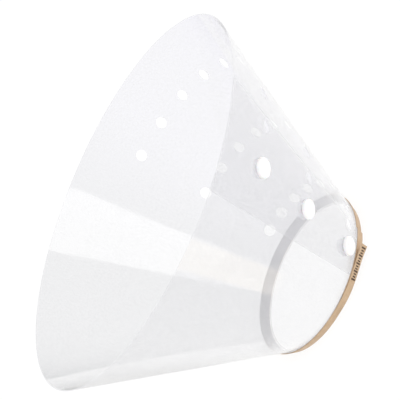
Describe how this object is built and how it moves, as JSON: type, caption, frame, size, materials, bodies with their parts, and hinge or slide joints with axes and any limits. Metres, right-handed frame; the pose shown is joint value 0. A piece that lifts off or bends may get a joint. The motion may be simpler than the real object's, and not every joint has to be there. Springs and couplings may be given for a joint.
{
  "type": "elizabethan collar",
  "caption": "Clear plastic cone collar for a pet: a wrapped sheet with a grid of size holes, press studs, and a soft band with a loose tail round the neck edge.",
  "frame": {"origin": "on the cone's axis in the plane of the narrow neck edge that it stands on, at the middle of the footprint", "axes": "+Z from the neck edge to the wide opening; -Y towards the overlap with the studs"},
  "size_m": [0.2516, 0.2522, 0.1436],
  "materials": {
    "clear_sheet": "clear, faintly hazy film, smooth on both sides",
    "band": "soft beige vinyl strap",
    "lining": "thin grey felt backing",
    "stud": "moulded white plastic, semi-gloss",
    "socket": "natural milky plastic, lets light through"
  },
  "bodies": {
    "wrap": {"sheet_wrap": "clear_sheet", "neck_band": "band", "band_lining": "lining"},
    "flap": {"sheet_flap": "clear_sheet", "neck_band_end": "band", "band_lining_end": "lining"},
    "tail": {"band_tail": "band"},
    "button_rim": {"button_rim": "stud"},
    "button_mid": {"button_mid": "stud"},
    "button_neck": {"button_neck": "stud"},
    "socket_rim": {"socket_rim": "socket"},
    "socket_mid": {"socket_mid": "socket"},
    "socket_neck": {"socket_neck": "socket"}
  },
  "joints": [
    {"name": "flap_lift", "type": "hinge", "parent": "wrap", "child": "flap", "pos_m": [-0.00613, -0.09104, 0.0718], "axis": [0.0317, 0.454, -0.8904], "range_deg": [0, 35]},
    {"name": "tail_lift", "type": "hinge", "parent": "flap", "child": "tail", "pos_m": [-0.00015, -0.09228, 0.0718], "axis": [0.002, 0.4551, -0.8904], "range_deg": [0, 70]},
    {"name": "button_rim_pull", "type": "slide", "parent": "flap", "child": "button_rim", "axis": [0.3861, -0.8023, -0.4551], "range_m": [0, 0.012]},
    {"name": "button_mid_pull", "type": "slide", "parent": "flap", "child": "button_mid", "axis": [0.3861, -0.8023, -0.4551], "range_m": [0, 0.012]},
    {"name": "button_neck_pull", "type": "slide", "parent": "flap", "child": "button_neck", "axis": [0.3861, -0.8023, -0.4551], "range_m": [0, 0.012]},
    {"name": "socket_rim_pull", "type": "slide", "parent": "wrap", "child": "socket_rim", "axis": [-0.3861, 0.8023, 0.4551], "range_m": [0, 0.01]},
    {"name": "socket_mid_pull", "type": "slide", "parent": "wrap", "child": "socket_mid", "axis": [-0.3861, 0.8023, 0.4551], "range_m": [0, 0.01]},
    {"name": "socket_neck_pull", "type": "slide", "parent": "wrap", "child": "socket_neck", "axis": [-0.3861, 0.8023, 0.4551], "range_m": [0, 0.01]}
  ]
}
